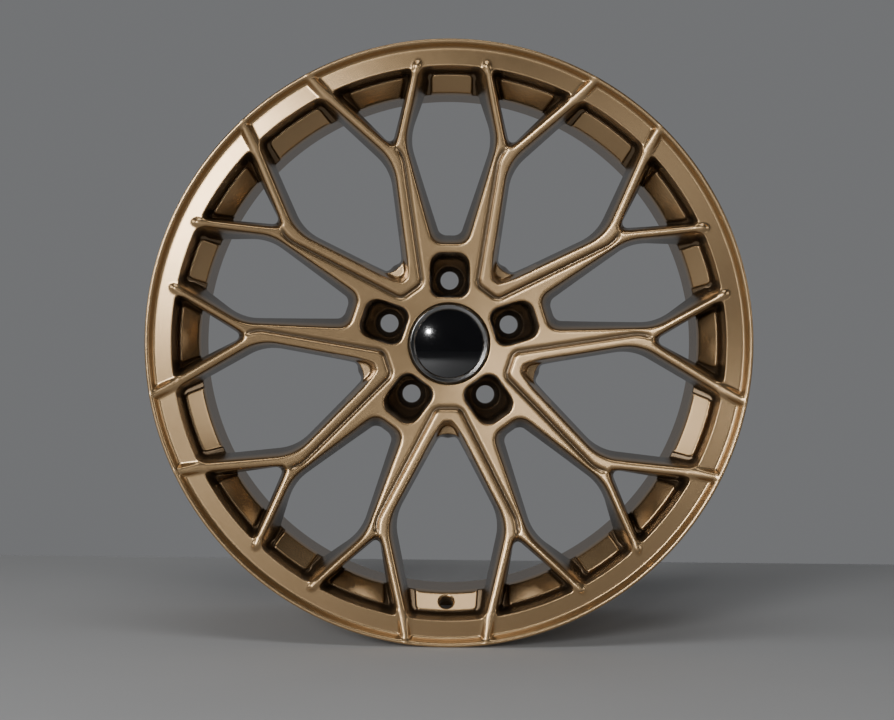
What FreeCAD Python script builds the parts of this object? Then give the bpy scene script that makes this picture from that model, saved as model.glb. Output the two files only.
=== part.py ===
"""Forged wheel rim, 19 x 8.5J, offset 45 mm, five bolts on a 112 mm circle.

Every shape is modelled with the wheel axis along its own Z, Z pointing outboard (to the
street side), Y up and X to the right as seen from the street. Height 0 is the middle of
the rim's width. FRAME turns this into the part's frame: axis along Y, outboard to -Y.

The wheel is one forging. It is given as barrel, outer ring, hub, ten stems and twenty
arms that meet face to face, so that every window between the spokes stays open.
"""
import math
import os

import FreeCAD
import Part
import Sketcher
from FreeCAD import Placement, Rotation, Vector

FRAME = Placement(Vector(0, 0, 0), Rotation(Vector(1, 0, 0), 90))
SPOKE_PAIRS = 5
PAIR_ANGLE = 360.0 / SPOKE_PAIRS
PARTS_FOLDER = "parts"
BLANK = "barrel_blank"   # turned barrel before its pads and valve hole; not a part

# Driving sizes in mm, kept in the spreadsheet. Heights run along the wheel axis.
SIZES = [
    ("flange_radius", 261.0),
    ("seat_radius", 244.1),
    ("seat_end_radius", 242.5),
    ("bead_gap_half", 107.95),
    ("half_width", 120.0),
    ("well_radius", 226.4),
    ("well_bore_radius", 220.0),
    ("wall_radius", 235.2),
    ("split_height", 86.5),
    ("ring_edge_radius", 239.0),
    ("ring_face_height", 114.0),
    ("lip_inner_radius", 257.5),
    ("hub_face_height", 94.2),
    ("mount_face_height", 45.0),
    ("hub_bore_radius", 33.3),
    ("cap_bore_radius", 30.0),
    ("cap_seat_radius", 35.3),
    ("cap_seat_height", 88.0),
    ("cap_outer_radius", 34.8),
    ("bolt_circle_radius", 56.0),
    ("bolt_hole_radius", 8.0),
    ("bolt_cone_radius", 12.5),
    ("valve_hole_radius", 5.65),
    ("spring_radius", 25.9),
    ("spring_wire_radius", 0.7),
]
SIZE = dict(SIZES)

# Dished front of the spokes: flat to FLAT_RADIUS, then an arc out to the lip.
FLAT_RADIUS = 60.0
DISH_MID = (150.0, 102.0)
DISH_END = (257.5, 119.2)
STEP_DOWN = 1.2          # hub face lies this far below the raised strips
GROOVE_DEPTH = 4.2       # groove bottom below the raised strips
DISH_LIFT = 12.0         # room above the front for cutting tools

# Back of the hub and spokes as (radius, height), ending inside the wall of the rim.
MOUNT_PAD_RADIUS = 78.0
BACK = [(MOUNT_PAD_RADIUS, SIZE["mount_face_height"]), (98.0, 53.0), (223.0, 67.0), (238.2, 81.0),
        (239.0, 88.0), (241.0, 104.0)]
HUB_EDGE_RADIUS = 98.0   # where the stems leave the hub
FORK_RADIUS = 189.0      # where a stem has become two separate arms

# Cutting tools reach past the metal on every side.
CUT_TOP = 124.0
CUT_BOTTOM = 40.0
ZONE_HEIGHT = 200.0
OUTLINE_TOP = 144.0


class Corner:
    """One rounded corner of a tapering window: its place and rounding at two heights."""

    def __init__(self, front, front_height, back, back_height, radius, back_radius=None):
        self.front = front
        self.front_height = front_height
        self.back = back
        self.back_height = back_height
        self.radius = radius
        self.back_radius = radius if back_radius is None else back_radius

    def share(self, height):
        return (self.front_height - height) / (self.front_height - self.back_height)

    def at(self, height):
        share = self.share(height)
        x = self.front[0] + share * (self.back[0] - self.front[0])
        y = self.front[1] + share * (self.back[1] - self.front[1])
        return Vector(x, y, height)

    def rounding(self, height):
        return self.radius + self.share(height) * (self.back_radius - self.radius)


def mirrored(corners):
    """The same corners on the other side of the window's own axis, in reverse order."""
    other = []
    for corner in reversed(corners):
        front = (-corner.front[0], corner.front[1])
        back = (-corner.back[0], corner.back[1])
        other.append(Corner(front, corner.front_height, back, corner.back_height,
                            corner.radius, corner.back_radius))
    return other


# Windows, drawn with their own axis pointing up (+Y).
WINDOW_A = [
    Corner((15.0, 87.3), 95.0, (8.3, 97.3), 50.0, 12.0, 8.0),
    Corner((40.0, 174.6), 106.0, (36.7, 181.3), 62.0, 42.0),
    Corner((26.9, 237.4), 114.0, (21.5, 232.0), 75.0, 5.0),
]
WINDOW_A_TOP = Corner((0.0, 242.0), 114.0, (0.0, 238.0), 75.0, 0.0)
WINDOW_C = [
    Corner((5.1, 67.2), 94.0, (9.4, 87.0), 50.0, 4.3, 7.0),
    Corner((52.2, 155.8), 104.0, (46.5, 156.1), 60.0, 42.0),
    Corner((32.9, 236.8), 114.0, (31.0, 232.0), 75.0, 4.5),
]
WINDOW_C_TOP = Corner((0.0, 243.5), 114.0, (0.0, 239.0), 75.0, 0.0)
WINDOW_B = [
    Corner((49.0, 167.2), 105.0, (52.6, 175.2), 60.0, 4.0),
    Corner((33.8, 236.2), 114.0, (37.9, 231.0), 75.0, 5.5),
    Corner((71.3, 233.5), 114.0, (70.0, 229.5), 75.0, 0.0),
    Corner((103.6, 214.6), 114.0, (95.3, 215.0), 75.0, 5.5),
]

# Pocket behind the foot of window C; its floor is the lit ledge at LEDGE_HEIGHT.
LEDGE_HEIGHT = 69.0
LEDGE = [
    Corner((5.1, 67.2), 94.0, (4.35, 72.6), LEDGE_HEIGHT, 4.0),
    Corner((22.5, 100.0), 94.0, (19.0, 100.0), LEDGE_HEIGHT, 0.0),
]

# Raised strip that borders window C and runs out along both long arms (axis up).
STRIP_EDGE = [(10.1, 57.6, 6.7), (60.6, 155.0, 26.0), (58.8, 164.5, 0.0), (43.2, 229.3, 0.0),
              (39.0, 255.6, 0.0), (31.2, 255.6, 0.0), (32.9, 237.2, 0.0), (20.0, 225.0, 0.0)]
# Far side of the groove that sets the strip off from the hub face.
GROOVE_EDGE = [(11.6, 55.0, 9.3), (63.6, 156.0, 25.0), (58.8, 167.5, 0.0), (48.0, 167.5, 0.0)]

# Bolt pocket: rounded box that narrows towards its floor.
POCKET_FLOOR = 62.0
POCKET = [
    Corner((17.4, 40.1), 93.0, (16.0, 42.0), POCKET_FLOOR, 10.0),
    Corner((17.4, 79.4), 93.0, (16.0, 75.5), POCKET_FLOOR, 11.0),
]
BOLT_CONE_END = 54.4     # where the 60 degree seat meets the bolt hole
HUB_BORE_END = 62.0      # step from the hub bore to the cap's smaller bore

# Short arms end in a blade on the ring face: foot of the ridge and its tip.
BLADE_FOOT = [(27.2, 230.0, 108.0), (35.9, 228.0, 108.0), (31.6, 229.0, 116.4)]
BLADE_TIP = (28.4, 247.6, 113.4)

# Raised pads on the slope behind the ring, one per window: corners, axis up.
PAD_LOW = (220.0, 74.5)
PAD_HIGH = (235.4, 85.8)
PAD_DEPTH = 9.0          # how far each pad is sunk into the barrel
PAD_ROUNDING = 3.0
PAD_A = [(-17.8, 215.0), (-17.8, 240.0), (17.8, 240.0), (17.8, 215.0)]
PAD_C = [(-28.6, 205.0), (-26.0, 240.0), (26.0, 240.0), (28.6, 205.0)]
PAD_B = [(48.3, 205.0), (40.0, 236.5), (70.0, 236.5), (93.6, 221.0), (73.0, 196.0)]

VALVE_RADIUS = 227.6     # distance of the valve hole from the wheel axis, on its pad
VALVE_LENGTH = 60.0
VALVE_CHAMFER = 1.4


# ---------------------------------------------------------------- sketches and revolved bodies

def amount(entry):
    """A size is a plain number, or (alias, offset) tied to the spreadsheet."""
    if isinstance(entry, tuple):
        return SIZE[entry[0]] + entry[1]
    return entry


def tie(sketch, kind, geometry, entry):
    index = sketch.addConstraint(Sketcher.Constraint(kind, -1, 1, geometry, 1, amount(entry)))
    if isinstance(entry, tuple):
        sketch.setExpression("Constraints[%d]" % index, "Sizes.%s + (%f)" % entry)


def revolved_body(doc, label, profile):
    """Solid of revolution about Z from a closed profile of (radius, height) corners."""
    body = doc.addObject("PartDesign::Body", label)
    body.Label = label
    doc.recompute()
    sketch = body.newObject("Sketcher::SketchObject", label + "_profile")
    plane = [item for item in body.Origin.OriginFeatures if item.Role == "XZ_Plane"][0]
    sketch.AttachmentSupport = [(plane, "")]
    sketch.MapMode = "FlatFace"
    corners = [Vector(amount(r), amount(z), 0) for r, z in profile]
    count = len(corners)
    for i in range(count):
        sketch.addGeometry(Part.LineSegment(corners[i], corners[(i + 1) % count]), False)
    for i in range(count):
        sketch.addConstraint(Sketcher.Constraint("Coincident", i, 2, (i + 1) % count, 1))
    for i, (radius, height) in enumerate(profile):
        tie(sketch, "DistanceX", i, radius)
        tie(sketch, "DistanceY", i, height)
    turn = body.newObject("PartDesign::Revolution", label + "_turn")
    turn.Profile = sketch
    turn.ReferenceAxis = (sketch, ["V_Axis"])
    turn.Angle = 360.0
    body.Tip = turn
    doc.recompute()
    return body


def round_circles(doc, body, name, radius, places):
    """Round the circular edges whose (radius, height) is listed in places."""
    base = body.Tip
    found = []
    for number, edge in enumerate(base.Shape.Edges, start=1):
        curve = edge.Curve
        if not isinstance(curve, Part.Circle):
            continue
        for r, z in places:
            if abs(curve.Radius - r) < 0.02 and abs(curve.Center.z - z) < 0.02:
                found.append("Edge%d" % number)
    if len(found) < len(places):
        raise ValueError("%s: %d of %d edges found" % (name, len(found), len(places)))
    fillet = body.newObject("PartDesign::Fillet", name)
    fillet.Base = (base, found)
    fillet.Radius = radius
    body.Tip = fillet
    doc.recompute()


def plain_feature(doc, label, shape):
    feature = doc.addObject("Part::Feature", label)
    feature.Label = label
    feature.Shape = shape
    feature.Placement = FRAME
    return feature


# ---------------------------------------------------------------- outlines and cutting tools

def rounded_wire(points, radii):
    """Closed wire through points (all at one height), each corner rounded by its radius."""
    count = len(points)
    edges = []
    starts = []
    ends = []
    for i in range(count):
        here = points[i]
        to_last = (points[i - 1] - here).normalize()
        to_next = (points[(i + 1) % count] - here).normalize()
        if radii[i] <= 0:
            starts.append(here)
            ends.append(here)
            continue
        half = to_last.getAngle(to_next) / 2.0
        reach = radii[i] / math.tan(half)
        inward = (to_last + to_next).normalize()
        middle = here + inward * (radii[i] / math.sin(half) - radii[i])
        starts.append(here + to_last * reach)
        ends.append(here + to_next * reach)
        edges.append(Part.Arc(starts[i], middle, ends[i]).toShape())
    for i in range(count):
        edges.append(Part.LineSegment(ends[i], starts[(i + 1) % count]).toShape())
    return Part.Wire(Part.__sortEdges__(edges))


def tapered_tool(corners, top, bottom):
    wires = []
    for height in (bottom, top):
        points = [corner.at(height) for corner in corners]
        wires.append(rounded_wire(points, [corner.rounding(height) for corner in corners]))
    return Part.makeLoft(wires, True, True)


def prism(outline, bottom, top):
    """Upright prism over an outline of (x, y) or (x, y, rounding) corners."""
    points = [Vector(corner[0], corner[1], bottom) for corner in outline]
    radii = [corner[2] if len(corner) > 2 else 0.0 for corner in outline]
    face = Part.Face(rounded_wire(points, radii))
    return face.extrude(Vector(0, 0, top - bottom))


def both_sides(outline):
    """Outline of the right half made whole by its mirror image."""
    left = [(-corner[0],) + tuple(corner[1:]) for corner in reversed(outline)]
    return left + list(outline)


def turned(shape, angle):
    """Copy of shape turned clockwise, as seen from the street, by angle degrees."""
    copy = shape.copy()
    copy.rotate(Vector(0, 0, 0), Vector(0, 0, 1), -angle)
    return copy


def flipped(shape):
    return shape.mirror(Vector(0, 0, 0), Vector(1, 0, 0))


def round_the_wheel(shape, first_angle):
    return [turned(shape, first_angle + PAIR_ANGLE * i) for i in range(SPOKE_PAIRS)]


def dish_edges(lift):
    """Front line of the spokes in the XZ plane, raised by lift."""
    centre = Vector(0, 0, SIZE["hub_face_height"] + lift)
    flat = Vector(FLAT_RADIUS, 0, SIZE["hub_face_height"] + lift)
    middle = Vector(DISH_MID[0], 0, DISH_MID[1] + lift)
    end = Vector(DISH_END[0], 0, DISH_END[1] + lift)
    return [Part.LineSegment(centre, flat).toShape(), Part.Arc(flat, middle, end).toShape()]


def spun(edges):
    face = Part.Face(Part.Wire(edges))
    return face.revolve(Vector(0, 0, 0), Vector(0, 0, 1), 360)


def polyline(points):
    return [Part.LineSegment(points[i], points[i + 1]).toShape() for i in range(len(points) - 1)]


def dish_layer(low, high):
    """Layer of the dished front between two lifts."""
    lower = dish_edges(low)
    upper = dish_edges(high)
    outer = [Vector(DISH_END[0], 0, DISH_END[1] + low), Vector(DISH_END[0], 0, DISH_END[1] + high)]
    inner = [Vector(0, 0, SIZE["hub_face_height"] + high), Vector(0, 0, SIZE["hub_face_height"] + low)]
    return spun(lower + polyline(outer) + list(reversed(upper)) + polyline(inner))


def spoke_blank():
    """Full disc between the back of the spokes and the hub face."""
    front = dish_edges(-STEP_DOWN)
    end_radius = BACK[-1][0]
    limit = Part.makeCylinder(end_radius, ZONE_HEIGHT)
    back = [Vector(0, 0, SIZE["mount_face_height"])] + [Vector(r, 0, z) for r, z in BACK]
    back.append(Vector(DISH_END[0], 0, BACK[-1][1]))
    outer = [back[-1], Vector(DISH_END[0], 0, DISH_END[1] - STEP_DOWN)]
    inner = [Vector(0, 0, SIZE["hub_face_height"] - STEP_DOWN), back[0]]
    disc = spun(polyline(back) + polyline(outer) + list(reversed(front)) + polyline(inner))
    return disc.common(limit)


# ---------------------------------------------------------------- the forging

def valve_tools():
    """Drill and chamfer for the valve hole, square to the slope of the pad."""
    slope = Vector(PAD_HIGH[0] - PAD_LOW[0], 0, PAD_HIGH[1] - PAD_LOW[1]).normalize()
    height = PAD_LOW[1] + (VALVE_RADIUS - PAD_LOW[0]) * slope.z / slope.x
    spot = Vector(0, -VALVE_RADIUS, height)
    outward = Vector(0, slope.z, slope.x)
    radius = SIZE["valve_hole_radius"]
    drill = Part.makeCylinder(radius, VALVE_LENGTH, spot - outward * (VALVE_LENGTH / 2), outward)
    cone = Part.makeCone(radius, radius + 2 * VALVE_CHAMFER, 2 * VALVE_CHAMFER,
                         spot - outward * VALVE_CHAMFER, outward)
    return drill.fuse(cone)


def barrel_shape(turned_barrel):
    """Turned barrel with a raised pad behind every window, and the valve hole."""
    low_r, low_z = PAD_LOW
    high_r, high_z = PAD_HIGH
    layer = spun(polyline([Vector(low_r, 0, low_z - PAD_DEPTH), Vector(low_r, 0, low_z),
                           Vector(high_r, 0, high_z), Vector(high_r, 0, high_z - PAD_DEPTH),
                           Vector(low_r, 0, low_z - PAD_DEPTH)]))
    pad_b = prism([corner + (PAD_ROUNDING,) for corner in PAD_B], CUT_BOTTOM, CUT_TOP)
    pad_a = prism([corner + (PAD_ROUNDING,) for corner in PAD_A], CUT_BOTTOM, CUT_TOP)
    pad_c = prism([corner + (PAD_ROUNDING,) for corner in PAD_C], CUT_BOTTOM, CUT_TOP)
    outlines = round_the_wheel(pad_a, 0) + round_the_wheel(pad_c, PAIR_ANGLE / 2)
    outlines += round_the_wheel(pad_b, 0) + round_the_wheel(flipped(pad_b), 0)
    pads = [layer.common(outline) for outline in outlines]
    barrel = turned_barrel.multiFuse(pads).removeSplitter()
    return barrel.cut(valve_tools())


def hub_tools():
    """Everything cut out of the hub: bore, cap seat, bolt pockets, seats and holes."""
    low = CUT_BOTTOM
    seat = SIZE["cap_seat_height"]
    tools = [
        Part.makeCylinder(SIZE["hub_bore_radius"], HUB_BORE_END - low, Vector(0, 0, low)),
        Part.makeCylinder(SIZE["cap_bore_radius"], CUT_TOP - low, Vector(0, 0, low)),
        Part.makeCylinder(SIZE["cap_seat_radius"], CUT_TOP - seat, Vector(0, 0, seat)),
    ]
    place = Vector(0, SIZE["bolt_circle_radius"], 0)
    hole = Part.makeCylinder(SIZE["bolt_hole_radius"], CUT_TOP - low, place + Vector(0, 0, low))
    seat = Part.makeCone(SIZE["bolt_hole_radius"], SIZE["bolt_cone_radius"], POCKET_FLOOR - BOLT_CONE_END,
                         place + Vector(0, 0, BOLT_CONE_END))
    pocket = tapered_tool(POCKET + mirrored(POCKET), CUT_TOP, POCKET_FLOOR)
    for tool in (hole, seat, pocket):
        tools += round_the_wheel(tool, 0)
    return tools


def forged_centre():
    """Hub and spokes in one piece, windows, grooves and hub details cut."""
    half = PAIR_ANGLE / 2
    strip = prism(both_sides(STRIP_EDGE), CUT_BOTTOM, OUTLINE_TOP)
    groove = prism(both_sides(GROOVE_EDGE), CUT_BOTTOM, OUTLINE_TOP).cut(strip)
    raised = dish_layer(-GROOVE_DEPTH, 0.0)
    carved = dish_layer(-GROOVE_DEPTH, DISH_LIFT)
    strips = round_the_wheel(strip.common(raised), half)
    grooves = round_the_wheel(groove.common(carved), half)
    window_a = tapered_tool(WINDOW_A + [WINDOW_A_TOP] + mirrored(WINDOW_A), CUT_TOP, CUT_BOTTOM)
    window_c = tapered_tool(WINDOW_C + [WINDOW_C_TOP] + mirrored(WINDOW_C), CUT_TOP, CUT_BOTTOM)
    window_b = tapered_tool(WINDOW_B, CUT_TOP, CUT_BOTTOM)
    ledge = tapered_tool(LEDGE + mirrored(LEDGE), CUT_TOP, LEDGE_HEIGHT)
    foot = Part.Wire(polyline([Vector(*p) for p in BLADE_FOOT + BLADE_FOOT[:1]]))
    blade = Part.makeLoft([foot, Part.Vertex(Vector(*BLADE_TIP))], True, True)
    windows = round_the_wheel(window_a, 0) + round_the_wheel(window_c, half)
    windows += round_the_wheel(window_b, 0) + round_the_wheel(flipped(window_b), 0)
    windows += round_the_wheel(ledge, half)
    blades = round_the_wheel(blade, 0) + round_the_wheel(flipped(blade), 0)
    centre = spoke_blank().multiFuse(strips)
    centre = centre.cut(windows)
    centre = centre.cut(grooves)
    centre = centre.cut(hub_tools())
    return centre.multiFuse(blades)


def clockwise_angle(solid):
    """Angle of a solid from straight up, clockwise as seen from the street, 0 to 360."""
    middle = solid.CenterOfMass
    return math.degrees(math.atan2(middle.x, middle.y)) % 360.0


def add_forging(doc, barrel_body, ring_body):
    """Hub, stems and arms, cut from one centre so that they meet face to face."""
    ring = ring_body.Shape.copy()
    ring.Placement = Placement()
    barrel = barrel_shape(barrel_body.Shape)
    centre = forged_centre().cut(ring).cut(barrel)
    hub_zone = Part.makeCylinder(HUB_EDGE_RADIUS, ZONE_HEIGHT)
    fork_zone = Part.makeCylinder(FORK_RADIUS, ZONE_HEIGHT)
    hub = centre.common(hub_zone)
    stems = centre.common(fork_zone).cut(hub_zone)
    arms = centre.cut(fork_zone)
    plain_feature(doc, "barrel", barrel)
    plain_feature(doc, "hub", hub)
    for number, solid in enumerate(sorted(stems.Solids, key=clockwise_angle), start=1):
        plain_feature(doc, "stem_%02d" % number, solid)
    for number, solid in enumerate(sorted(arms.Solids, key=clockwise_angle), start=1):
        plain_feature(doc, "arm_%02d" % number, solid)


# ---------------------------------------------------------------- profiles

BARREL_PROFILE = [
    (("seat_end_radius", 0), ("split_height", 0)),
    (("seat_end_radius", 1.1), 84.5),
    (("seat_end_radius", -0.5), 82.0),
    (("well_radius", 0), 66.0),
    (("well_radius", 0), 20.0),
    (240.0, -16.0),
    (241.0, -81.0),
    (("seat_end_radius", 1.1), -84.5),
    (("seat_end_radius", 0), -87.0),
    (("seat_radius", 0), ("bead_gap_half", -215.9)),
    (("flange_radius", -2.5), ("bead_gap_half", -215.9)),
    (("flange_radius", 0), -109.8),
    (("flange_radius", 0), ("half_width", -240.0)),
    (("lip_inner_radius", 0), ("half_width", -240.0)),
    (("lip_inner_radius", -2.0), -114.5),
    (240.5, -114.5),
    (("wall_radius", 0.6), -98.0),
    (("wall_radius", -0.6), -22.0),
    (("well_bore_radius", 0), 14.0),
    (("well_bore_radius", 0), 68.0),
    (("wall_radius", 0), 80.5),
    (("wall_radius", 0), ("split_height", 0)),
]

RING_PROFILE = [
    (("seat_end_radius", 0), ("split_height", 0)),
    (("wall_radius", 0), ("split_height", 0)),
    (("ring_edge_radius", 0), ("ring_face_height", 0)),
    (("lip_inner_radius", -3.0), ("ring_face_height", -1.0)),
    (("lip_inner_radius", 0), ("half_width", 0)),
    (("flange_radius", 0), ("half_width", 0)),
    (("flange_radius", 0), 109.8),
    (("flange_radius", -2.5), ("bead_gap_half", 0)),
    (("seat_radius", 0), ("bead_gap_half", 0)),
]

CAP_GAP = 0.3            # play between the cap and its seat
CAP_PLATE_HEIGHT = 91.4  # front of the cap's body, behind its trim and badge
FINGER_RADIUS = 29.7
FINGER_END = 75.0
CAP_BODY_PROFILE = [
    (0.0, 88.3), (26.6, 88.3), (26.6, FINGER_END), (28.4, FINGER_END), (FINGER_RADIUS, 76.6),
    (FINGER_RADIUS, 78.2), (28.9, 79.4), (28.9, ("cap_seat_height", CAP_GAP)),
    (("cap_outer_radius", 0), ("cap_seat_height", CAP_GAP)), (("cap_outer_radius", 0), CAP_PLATE_HEIGHT),
    (0.0, CAP_PLATE_HEIGHT),
]
TRIM_PROFILE = [
    (29.6, CAP_PLATE_HEIGHT), (("cap_outer_radius", 0), CAP_PLATE_HEIGHT),
    (("cap_outer_radius", 0), 94.0),
    (("cap_outer_radius", -1.4), 95.6), (30.6, 95.2), (29.6, 94.2),
]
BADGE_RADIUS = 29.6
BADGE_EDGE_HEIGHT = 93.8
BADGE_CROWN_HEIGHT = 95.4
SPRING_HEIGHT = 78.0
FINGER_COUNT = 6
FINGER_GAP = 5.0
FINGER_TOP = 86.5        # the gaps between the snap fingers end here
GAP_INNER = 20.0
GAP_OUTER = 33.0


def add_cap(doc):
    """Centre cap: body with snap fingers, chrome trim ring, domed badge, spring wire."""
    body = revolved_body(doc, "cap_body", CAP_BODY_PROFILE)
    slots = body.newObject("Sketcher::SketchObject", "cap_body_slots")
    plane = [item for item in body.Origin.OriginFeatures if item.Role == "XY_Plane"][0]
    slots.AttachmentSupport = [(plane, "")]
    slots.MapMode = "FlatFace"
    half = FINGER_GAP / 2
    corners = [Vector(GAP_INNER, -half, 0), Vector(GAP_OUTER, -half, 0),
               Vector(GAP_OUTER, half, 0), Vector(GAP_INNER, half, 0)]
    for i in range(4):
        slots.addGeometry(Part.LineSegment(corners[i], corners[(i + 1) % 4]), False)
    pocket = body.newObject("PartDesign::Pocket", "cap_body_slot")
    pocket.Profile = slots
    pocket.Reversed = True
    pocket.Length = FINGER_TOP
    doc.recompute()
    pattern = body.newObject("PartDesign::PolarPattern", "cap_body_slot_ring")
    pattern.Originals = [pocket]
    pattern.Axis = (slots, ["N_Axis"])
    pattern.Angle = 360.0
    pattern.Occurrences = FINGER_COUNT
    body.Tip = pattern
    body.Placement = FRAME
    doc.recompute()

    trim = revolved_body(doc, "cap_trim_ring", TRIM_PROFILE)
    trim.Placement = FRAME

    crown = BADGE_CROWN_HEIGHT - BADGE_EDGE_HEIGHT
    dome_radius = (BADGE_RADIUS ** 2 + crown ** 2) / (2 * crown)
    disc = Part.makeCylinder(BADGE_RADIUS, BADGE_CROWN_HEIGHT - CAP_PLATE_HEIGHT,
                             Vector(0, 0, CAP_PLATE_HEIGHT))
    dome = Part.makeSphere(dome_radius, Vector(0, 0, BADGE_CROWN_HEIGHT - dome_radius))
    plain_feature(doc, "cap_badge", disc.common(dome))

    spring = doc.addObject("Part::Torus", "cap_spring_wire")
    spring.Label = "cap_spring_wire"
    spring.setExpression("Radius1", "Sizes.spring_radius")
    spring.setExpression("Radius2", "Sizes.spring_wire_radius")
    spring.Placement = FRAME.multiply(Placement(Vector(0, 0, SPRING_HEIGHT), Rotation()))
    doc.recompute()


def add_sheet(doc):
    """Spreadsheet of the driving sizes, which every shape below is then built from."""
    sheet = doc.addObject("Spreadsheet::Sheet", "Sizes")
    for row, (alias, value) in enumerate(SIZES, start=1):
        sheet.set("A%d" % row, alias)
        sheet.set("B%d" % row, str(value))
        sheet.setAlias("B%d" % row, alias)
    doc.recompute()
    for alias, _ in SIZES:
        SIZE[alias] = float(sheet.get(alias))


def export(doc):
    os.makedirs(PARTS_FOLDER, exist_ok=True)
    for item in doc.Objects:
        if "Invalid" in item.State or "Error" in item.State:
            raise ValueError("%s is in state %s" % (item.Label, item.State))
        if item.TypeId not in ("PartDesign::Body", "Part::Feature", "Part::Torus"):
            continue
        if item.Label == BLANK:
            continue
        if item.Shape.isNull() or not item.Shape.isValid():
            raise ValueError("%s has no valid shape" % item.Label)
        if len(item.Shape.Solids) < 1:
            raise ValueError("%s has no solid" % item.Label)
        item.Shape.exportStep("%s/%s.step" % (PARTS_FOLDER, item.Label))


def main():
    doc = FreeCAD.newDocument("ForgedWheel")
    add_sheet(doc)
    barrel_blank = revolved_body(doc, BLANK, BARREL_PROFILE)
    ring = revolved_body(doc, "outer_ring", RING_PROFILE)
    half_width = SIZE["half_width"]
    round_circles(doc, ring, "ring_lip", 1.5, [(SIZE["flange_radius"], half_width),
                                               (SIZE["lip_inner_radius"], half_width)])
    round_circles(doc, ring, "ring_root", 6.0, [(SIZE["seat_radius"], SIZE["bead_gap_half"])])
    round_circles(doc, barrel_blank, "barrel_lip", 1.5, [(SIZE["flange_radius"], -half_width),
                                                         (SIZE["lip_inner_radius"], -half_width)])
    round_circles(doc, barrel_blank, "barrel_root", 6.0, [(SIZE["seat_radius"], -SIZE["bead_gap_half"])])
    add_forging(doc, barrel_blank, ring)
    ring.Placement = FRAME
    add_cap(doc)
    doc.recompute()
    export(doc)


main()
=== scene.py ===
"""Looks of the forged wheel rim.

The forging's front is one sculpted surface: dished Y spokes with a raised strip, engraved
groove, drafted window walls, bolt pockets, ring and lip, all with rounded edges. It is
described by a signed distance field over one tenth of the wheel (half of a 72 degree
repeat), meshed, and laid round the wheel by mirroring and turning. The plain barrel behind
it is turned from a profile. Lengths in the field are millimetres, in wheel coordinates:
X right, Y up, Z outboard from the middle of the rim's width.
"""
import bmesh
import bpy
import math
import numpy as np
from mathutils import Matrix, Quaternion, Vector


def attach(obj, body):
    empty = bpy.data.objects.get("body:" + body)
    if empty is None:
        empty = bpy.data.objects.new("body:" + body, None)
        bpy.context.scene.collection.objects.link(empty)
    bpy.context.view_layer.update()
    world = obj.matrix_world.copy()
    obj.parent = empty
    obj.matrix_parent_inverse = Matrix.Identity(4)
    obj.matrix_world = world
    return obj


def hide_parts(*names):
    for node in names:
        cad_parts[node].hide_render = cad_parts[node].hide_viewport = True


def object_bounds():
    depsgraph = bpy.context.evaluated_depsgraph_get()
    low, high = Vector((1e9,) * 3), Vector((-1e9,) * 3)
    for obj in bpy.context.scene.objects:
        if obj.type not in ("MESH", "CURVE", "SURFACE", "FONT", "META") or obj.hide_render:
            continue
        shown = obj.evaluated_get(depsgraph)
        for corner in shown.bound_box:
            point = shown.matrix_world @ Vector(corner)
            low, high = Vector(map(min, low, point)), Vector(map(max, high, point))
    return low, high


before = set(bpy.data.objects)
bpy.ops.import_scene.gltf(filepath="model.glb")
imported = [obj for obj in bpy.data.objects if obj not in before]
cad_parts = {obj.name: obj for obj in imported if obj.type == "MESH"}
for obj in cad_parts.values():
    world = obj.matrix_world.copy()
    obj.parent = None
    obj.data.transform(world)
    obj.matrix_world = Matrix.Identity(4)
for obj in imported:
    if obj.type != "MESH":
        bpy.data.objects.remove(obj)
CAD_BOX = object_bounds()

MM = 0.001
CELL = 0.75
PAIRS = 5
VALVE_COPIES = (4, 5)    # the two half repeats that meet at the bottom of the wheel
PAIR_TURN = 2 * math.pi / PAIRS
HALF_TURN = PAIR_TURN / 2

# ------------------------------------------------------------------ sizes, mostly those of the CAD

MOUNT_FACE = 45.0
HUB_EDGE_RADIUS = 98.0   # hub and spokes part here
SPLIT_HEIGHT = 86.5      # barrel and outer ring part here
SEAM_HEIGHT = 62.0       # the sculpted front meets the turned barrel here

# Dished front of hub and spokes, with the raised strip and the groove beside it.
DISH_START = (36.0, 91.4)
DISH_MID = (150.0, 102.0)
DISH_END = (257.5, 119.2)
STEP_DOWN = 1.2          # the hub's face lies this far below the strip
STEP_HALF = 0.4
STEP_FADE = (165.0, 215.0)
GROOVE_DEPTH = 2.5
GROOVE_HALF = 2.7        # half the groove's width
GROOVE_FADE = (171.0, 178.0)
CREST = 1.7              # rounding along the spokes' top edges, at the hub
CREST_GAIN = 1.5
CREST_GAIN_SPAN = (150.0, 195.0)
CREST_LOSS = 1.0
CREST_LOSS_SPAN = (225.0, 242.0)
CREST_STEEPEST = 0.95    # share of the rounding's arc that is kept
CREST_WALL_SLOPE = 3.04  # slope past that share
TIP_DROP = 8.5           # the short arms sink into the ring's face at their tips
TIP_SPAN = (240.0, 251.0)
FRONT_BLEND = 1.2

# Back of hub and spokes.
BACK_RADII = [0.0, 78.0, 98.0, 223.0, 238.2, 239.0, 241.0]
BACK_HEIGHTS = [MOUNT_FACE, MOUNT_FACE, 53.0, 67.0, 81.0, 88.0, 104.0]
WEB_END_RADIUS = 241.0

# Outer ring and lip.
RING_EDGE = (239.0, 114.0)
RING_SLOPE = 1.0 / 15.5
RING_INNER_RADIUS = 234.0
LIP_STEP = (254.5, 113.0)
LIP_INNER_RADIUS = 257.5
LIP_HEIGHT = 120.0
LIP_CROWN_RADIUS = 259.3
LIP_CROWN_CURVE = 0.10
LIP_BLEND = 1.6
WALL_LOW = (238.0, 83.4)

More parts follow.
